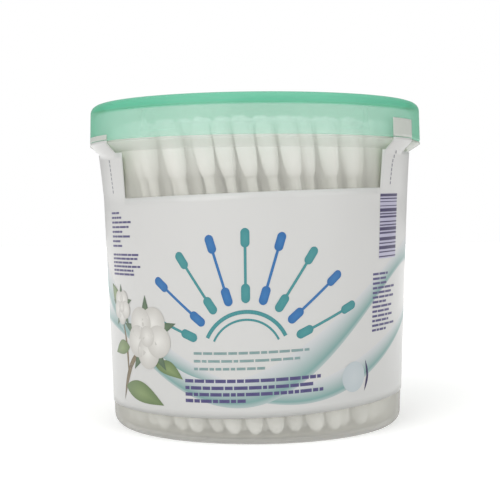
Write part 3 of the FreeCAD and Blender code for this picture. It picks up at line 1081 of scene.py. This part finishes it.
def ink(name, rim_colour, middle_colour, size):
    """An ink that is even but for a faint mottle of the given size, under the film's gloss, and
    that goes from one tone at a shape's outline to another in its middle."""
    made, tree = new_material(name)
    where = node(tree, "ShaderNodeTexCoord")
    mottle = node(
        tree,
        "ShaderNodeTexNoise",
        sockets={"Vector": where.outputs["Object"], "Scale": 1 / (size * MM)},
    )
    share = node(tree, "ShaderNodeAttribute", {"attribute_name": "ink_share"})
    blend = node(
        tree,
        "ShaderNodeMix",
        {"data_type": "FLOAT"},
        {"Factor": MOTTLE_SHARE, "A": share.outputs["Fac"], "B": mottle.outputs["Fac"]},
    )
    tone = node(
        tree,
        "ShaderNodeMix",
        {"data_type": "RGBA"},
        {"Factor": blend.outputs["Result"], "A": linear(rim_colour), "B": linear(middle_colour)},
    )
    gloss = node(
        tree,
        "ShaderNodeBsdfPrincipled",
        sockets={"Base Color": tone.outputs["Result"], "Roughness": 0.32, "IOR": 1.5},
    )
    node(tree, "ShaderNodeOutputMaterial", sockets={"Surface": gloss.outputs[0]})
    return made


OUTLINE_STEPS = 12
ROUND_SIDES = 28
LEAF_FULLNESS = 0.8
LEAST_BAR = 0.8
SHORT_BAR = 1.0
LONG_BAR = 3.4


def bar(left, right, low, high):
    """A plain upright bar."""
    return [(left, low), (right, low), (right, high), (left, high)]


def capsule(left, right, half):
    """A level bar with round ends, on the line of height 0."""
    points = []
    for step in range(OUTLINE_STEPS + 1):
        a = math.pi / 2 - math.pi * step / OUTLINE_STEPS
        points.append((right - half + half * math.cos(a), half * math.sin(a)))
    for step in range(OUTLINE_STEPS + 1):
        a = -math.pi / 2 - math.pi * step / OUTLINE_STEPS
        points.append((left + half + half * math.cos(a), half * math.sin(a)))
    return points


def leaf(foot, tip, wide, bend):
    """A pointed leaf from its foot to its tip, bent to one side."""
    foot, tip = Vector(foot), Vector(tip)
    along = tip - foot
    side = Vector((-along.y, along.x)).normalized()
    upper, lower = [], []
    for step in range(1, OUTLINE_STEPS):
        share = step / OUTLINE_STEPS
        spine = foot + along * share + side * bend * math.sin(math.pi * share)
        half = wide / 2 * math.sin(math.pi * share**LEAF_FULLNESS)
        upper.append(spine + side * half)
        lower.append(spine - side * half)
    return [tuple(p) for p in [foot, *lower, tip, *upper[::-1]]]


def disc(middle, across):
    """A round outline about a middle."""
    points = []
    for step in range(ROUND_SIDES):
        a = 2 * math.pi * step / ROUND_SIDES
        points.append((middle[0] + across / 2 * math.cos(a), middle[1] + across / 2 * math.sin(a)))
    return points


def bar_rows(dice, left, right, rows, thick, gap):
    """Short bars of uneven length, in rows that each have a height and a share of the width."""
    shapes = []
    for height, width in rows:
        at = left
        end = left + (right - left) * width
        while at < end - LEAST_BAR:
            stop = min(at + dice.uniform(SHORT_BAR, LONG_BAR), end)
            shapes.append(bar(at, stop, height - thick / 2, height + thick / 2))
            at = stop + gap
    return shapes


dice = random.Random(11)
teal_ink = ink("teal_ink", "#3b8a8f", "#4b999b", 6.0)
blue_ink = ink("blue_ink", "#2467a6", "#3a7cb8", 6.0)
violet_ink = ink("violet_ink", "#5b5684", "#464172", 2.0)
grey_ink = ink("grey_teal_ink", "#8fa8a6", "#7d9a9b", 2.0)
dark_ink = ink("dark_violet_ink", "#3b3260", "#2d2350", 2.0)
lilac_ink = ink("pale_lilac_ink", "#c7c4d8", "#b9b5d0", 4.0)
leaf_ink = ink("leaf_green_ink", "#62784d", "#93a673", 5.0)
deep_leaf_ink = ink("deep_leaf_green_ink", "#4f6650", "#74896a", 4.0)
stem_ink = ink("stem_brown_ink", "#75664f", "#94866c", 3.0)
boll_ink = ink("boll_white_ink", "#c6c3bd", "#f3f1ec", 5.0)
disc_ink = ink("pale_blue_grey_ink", "#c3cdd1", "#ced5d8", 6.0)

# A fan of swabs in teal and blue, over two thin arcs.
FAN_FOOT = Vector((-2.5, 20.0))
FAN_SWABS = 9
FAN_FIRST_TURN = -68
FAN_TURN = 17
FAN_INSIDE = 13.0
FAN_OUTSIDE = 30.0
DRAWN_STICK_HALF = 0.32
DRAWN_HEAD_HALF = 1.05
DRAWN_HEAD = 4.4
ARCS = [(10.4, 0.45), (8.6, 0.25)]
ARC_REACH = 64
ARC_STEP = 4
ARC_RISE = 0.6


def swab_marks(turn, inner, outer):
    """A drawn swab on the fan: its stick and its two heads, as outlines."""
    out = Vector((math.sin(math.radians(turn)), math.cos(math.radians(turn))))
    side = Vector((out.y, -out.x))
    flat = [
        bar(inner, outer, -DRAWN_STICK_HALF, DRAWN_STICK_HALF),
        capsule(inner, inner + DRAWN_HEAD, DRAWN_HEAD_HALF),
        capsule(outer - DRAWN_HEAD, outer, DRAWN_HEAD_HALF),
    ]
    return [[tuple(FAN_FOOT + out * u + side * v) for u, v in outline] for outline in flat]


teal_fan = []
blue_fan = []
for number in range(FAN_SWABS):
    marks = swab_marks(FAN_FIRST_TURN + FAN_TURN * number, FAN_INSIDE, FAN_OUTSIDE)
    (blue_fan if number % 2 else teal_fan).extend(marks)
lay_print("print_fan_teal", teal_fan, teal_ink)
lay_print("print_fan_blue", blue_fan, blue_ink)
arcs = []
for radius, half in ARCS:
    for turn in range(-ARC_REACH, ARC_REACH, ARC_STEP):
        start, end = math.radians(turn), math.radians(turn + ARC_STEP)
        inside, outside = radius - half, radius + half
        corners = [(inside, start), (inside, end), (outside, end), (outside, start)]
        arcs.append(
            [
                (FAN_FOOT.x + r * math.sin(a), FAN_FOOT.y + ARC_RISE + r * math.cos(a))
                for r, a in corners
            ]
        )
lay_print("print_fan_arcs", arcs, teal_ink)

# Blocks of short bars in rows. Each row has its height and its share of the block's width.
rows = [(21.6, 1.0), (19.8, 0.92), (18.0, 0.6)]
lay_print("print_small_grey", bar_rows(dice, -15.5, 13.5, rows, 0.6, 0.35), grey_ink)
rows = [(15.2, 0.95), (13.6, 0.9), (12.1, 0.97), (10.6, 0.45)]
lay_print("print_small_violet", bar_rows(dice, -18.0, 17.5, rows, 0.8, 0.3), violet_ink)
rows = [(54.6 - 1.15 * step, dice.uniform(0.3, 0.75)) for step in range(8)]
rows += [(44.4 - 0.95 * step, dice.uniform(0.7, 1.0)) for step in range(6)]
lay_print("print_left_block", bar_rows(dice, -44.6, -30.5, rows, 0.5, 0.22), violet_ink)
rows = [(37.4 - 1.12 * step, dice.uniform(0.55, 1.0)) for step in range(13)]
lay_print("print_right_block", bar_rows(dice, 31.6, 42.2, rows, 0.55, 0.25), violet_ink)

# A pale patch with plain bars of several widths across it.
PATCH_LEFT = 33.8
PATCH_RIGHT = 42.2
PATCH_FOOT = 41.0
PATCH_TOP = 56.6
PATCH_MARGIN = 0.3
PATCH_EDGE = 0.1
BAR_WIDTHS = (0.2, 0.3, 0.45, 0.8)
BAR_GAPS = (0.35, 0.5, 0.8)
lay_print("print_bars_ground", [bar(PATCH_LEFT, PATCH_RIGHT, PATCH_FOOT, PATCH_TOP)], lilac_ink)
stripes = []
at = PATCH_FOOT + PATCH_MARGIN
while at < PATCH_TOP - PATCH_MARGIN - PATCH_EDGE:
    thick_bar = dice.choice(BAR_WIDTHS)
    stripes.append(bar(PATCH_LEFT, PATCH_RIGHT, at, min(at + thick_bar, PATCH_TOP - PATCH_EDGE)))
    at += thick_bar + dice.choice(BAR_GAPS)
lay_print("print_bars", stripes, dark_ink, lift=SECOND_INK)

# A cotton sprig at the lower left: two open bolls of five locks each on a bent stem, with leaves.
# The sizes of a boll's parts are shares of its width.
LOCKS = 5
FIRST_LOCK_TURN = 20
HALF_LOCK_TURN = 0.63
LOCK_OUT = 0.26
LOCK_ACROSS = 0.52
HEART_ACROSS = 0.34
CUP_REACH = 0.66
CUP_ACROSS = 0.2
CUP_BEND = 0.2
stem = [leaf((-41.0, 8.6), (-29.5, 24.0), 1.3, 2.0), leaf((-38.2, 14.4), (-40.5, 30.0), 0.9, -0.8)]
leaves = [
    leaf((-39.6, 12.2), (-24.5, 8.9), 5.0, 0.8),
    leaf((-27.0, 18.5), (-18.6, 15.4), 3.4, 0.9),
    leaf((-37.0, 22.0), (-45.5, 20.0), 3.6, -0.6),
    leaf((-41.0, 32.5), (-46.5, 37.2), 3.8, 0.6),
]
cups = []
bolls = []
for middle, across in (((-29.5, 25.0), 15.0), ((-40.5, 31.6), 8.5)):
    for lock in range(LOCKS):
        a = math.radians(360 / LOCKS * lock + FIRST_LOCK_TURN)
        out = Vector((math.cos(a), math.sin(a)))
        tip = Vector(middle) + out * across * CUP_REACH
        cups.append(leaf(middle, tip, across * CUP_ACROSS, CUP_BEND))
        between = Vector((math.cos(a + HALF_LOCK_TURN), math.sin(a + HALF_LOCK_TURN)))
        bolls.append(disc(Vector(middle) + between * across * LOCK_OUT, across * LOCK_ACROSS))
    bolls.append(disc(middle, across * HEART_ACROSS))
lay_print("print_stem", stem, stem_ink)
lay_print("print_leaves", leaves, leaf_ink, lift=SECOND_INK)
lay_print("print_cups", cups, deep_leaf_ink, lift=THIRD_INK)
lay_print("print_bolls", bolls, boll_ink, lift=TOP_INK)

# A plain pale disc, beside an arc of dark ink.
lay_print("print_disc", [disc((25.4, 13.8), 7.2)], disc_ink, lift=SECOND_INK)
lay_print("print_disc_arc", [leaf((29.0, 9.9), (29.2, 17.4), 0.5, -1.1)], dark_ink, lift=SECOND_INK)

# Dashes of the perforations that run down from the risers. The right row bends out at its top.
DASHES = 8
DASH_STEP = 1.05
DASH_LONG = 0.7
DASH_WIDE = 0.3
RIGHT_DASHES = (37.7, 59.8)
LEFT_DASHES = (-42.6, 58.3)
BEND_FOOT = 63.5
BEND_OUT = 0.06
BEND_POWER = 2.4

dashes = []
for step in range(DASHES):
    foot = RIGHT_DASHES[1] + DASH_STEP * step
    at = RIGHT_DASHES[0] + BEND_OUT * max(0.0, foot - BEND_FOOT) ** BEND_POWER
    dashes.append(bar(at, at + DASH_WIDE, foot, foot + DASH_LONG))
lay_print("print_perforation_right", dashes, dark_ink, level=False, at_back=False)
dashes = []
for step in range(DASHES):
    foot = LEFT_DASHES[1] + DASH_STEP * step
    dashes.append(bar(LEFT_DASHES[0], LEFT_DASHES[0] + DASH_WIDE, foot, foot + DASH_LONG))
lay_print("print_perforation_left", dashes, dark_ink, level=False, at_back=False)

# Two teal waves of printed ink that run right round the lower half of the label. Their colour
# fades to one side, by an ink share that each corner of the mesh carries.
WAVES = [
    # name, middle height, swing, turn of its lowest point, half width, lift
    ("print_wave_low", 20.4, 9.2, 12.0, 2.8, INK_LIFT - 0.015),
    ("print_wave_high", 27.4, 15.2, -10.0, 4.2, INK_LIFT - 0.01),
]
WAVE_STEPS = 288
WAVE_ROWS = 6
WAVE_THINNEST = 0.55
THICKEST_TURN = 0.7
FADE_POWER = 1.2
EDGE_INK = 0.35
EDGE_GAIN = 8
WAVE_MOTTLE = 0.06

wave_ink, tree = new_material("fading_teal_ink")
share = node(tree, "ShaderNodeAttribute", {"attribute_name": "ink_share"})
where = node(tree, "ShaderNodeTexCoord")
uneven = node(
    tree,
    "ShaderNodeTexNoise",
    sockets={"Vector": where.outputs["Object"], "Scale": WAVE_MOTTLE / MM},
)
deep = node(
    tree,
    "ShaderNodeMix",
    {"data_type": "RGBA"},
    {"Factor": uneven.outputs["Fac"], "A": linear("#4f918c"), "B": linear("#6aa39b")},
)
tone = node(
    tree,
    "ShaderNodeMix",
    {"data_type": "RGBA"},
    {"Factor": share.outputs["Fac"], "A": linear("#d8d9db"), "B": deep.outputs["Result"]},
)
gloss = node(
    tree,
    "ShaderNodeBsdfPrincipled",
    sockets={"Base Color": tone.outputs["Result"], "Roughness": 0.32, "IOR": 1.5},
)
node(tree, "ShaderNodeOutputMaterial", sockets={"Surface": gloss.outputs[0]})

for name, middle, swing, turn, half, lift in WAVES:
    bm = bmesh.new()
    layer = bm.verts.layers.float.new("ink_share")
    columns = []
    for step in range(WAVE_STEPS):
        angle = 360 * step / WAVE_STEPS - 180
        phase = 2 * math.radians(angle - turn)
        centre = middle - swing * math.cos(phase)
        swell = math.sin(phase + THICKEST_TURN) ** 2
        reach = half * (WAVE_THINNEST + (1 - WAVE_THINNEST) * swell)
        column = []
        for row in range(WAVE_ROWS + 1):
            share_across = row / WAVE_ROWS
            height = level_over(angle, centre - reach + 2 * reach * share_across)
            vert = bm.verts.new(film_point(angle, height, lift))
            at_foot = min(1.0, share_across * EDGE_GAIN + EDGE_INK)
            vert[layer] = (1 - share_across) ** FADE_POWER * at_foot
            column.append(vert)
        columns.append(column)
    for at, column in enumerate(columns):
        after = columns[(at + 1) % WAVE_STEPS]
        for row in range(WAVE_ROWS):
            bm.faces.new([column[row], after[row], after[row + 1], column[row + 1]])
    wave = new_object(name, bm, wave_ink)
    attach(wave, "tub")
